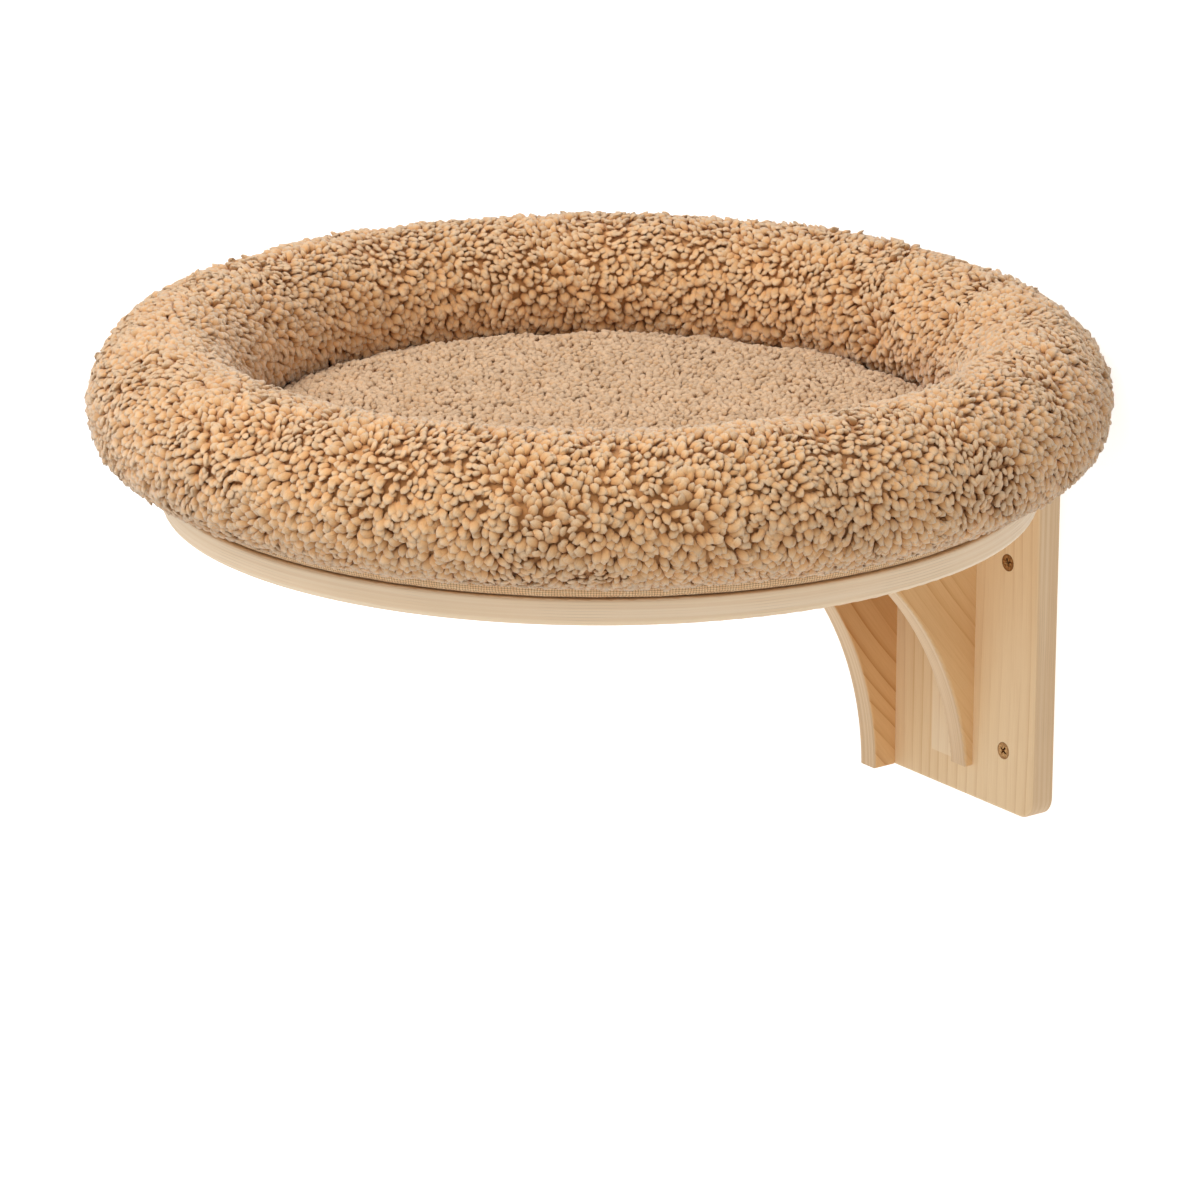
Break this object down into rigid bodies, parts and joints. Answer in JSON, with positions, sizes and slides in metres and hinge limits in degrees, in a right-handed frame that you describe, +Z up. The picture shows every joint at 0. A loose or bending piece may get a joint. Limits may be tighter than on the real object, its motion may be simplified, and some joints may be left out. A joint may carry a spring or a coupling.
{
  "type": "wall-mounted cat bed",
  "caption": "Round plywood shelf on two curved brackets and a screwed wall plate, with a plush ring cushion that lifts off its hook-and-loop patches.",
  "frame": {"origin": "the wall's face, where the plate's back lies, on the shelf's middle plane, level with the top face of the shelf board", "axes": "+Z up, +Y into the wall, +X to the right for someone who faces the wall"},
  "size_m": [0.462, 0.4772, 0.2623],
  "materials": {
    "plywood": "birch plywood, clear matt lacquer",
    "brass": "antique brass plating",
    "steel": "zinc plated",
    "hook_tape": "woven nylon hook tape",
    "loop_tape": "brushed nylon loop tape",
    "linen": "plain-weave linen",
    "plush": "curly sherpa plush",
    "filling": "polyester fibre and foam"
  },
  "bodies": {
    "frame": {"wall_plate": "plywood", "bracket_left": "plywood", "bracket_right": "plywood", "shelf_board": "plywood", "wall_screws": "brass", "bracket_screws_left": "steel", "bracket_screws_right": "steel", "shelf_screws_left": "steel", "shelf_screws_right": "steel", "hook_patches": "hook_tape"},
    "cushion": {"loop_patches": "loop_tape", "linen_base": "linen", "base_wadding": "filling", "floor_cover": "plush", "floor_foam": "filling", "bolster_cover": "plush", "bolster_filling": "filling"}
  },
  "joints": [
    {"name": "cushion_lift", "type": "slide", "parent": "frame", "child": "cushion", "axis": [0, 0, 1], "range_m": [0, 0.12]}
  ]
}
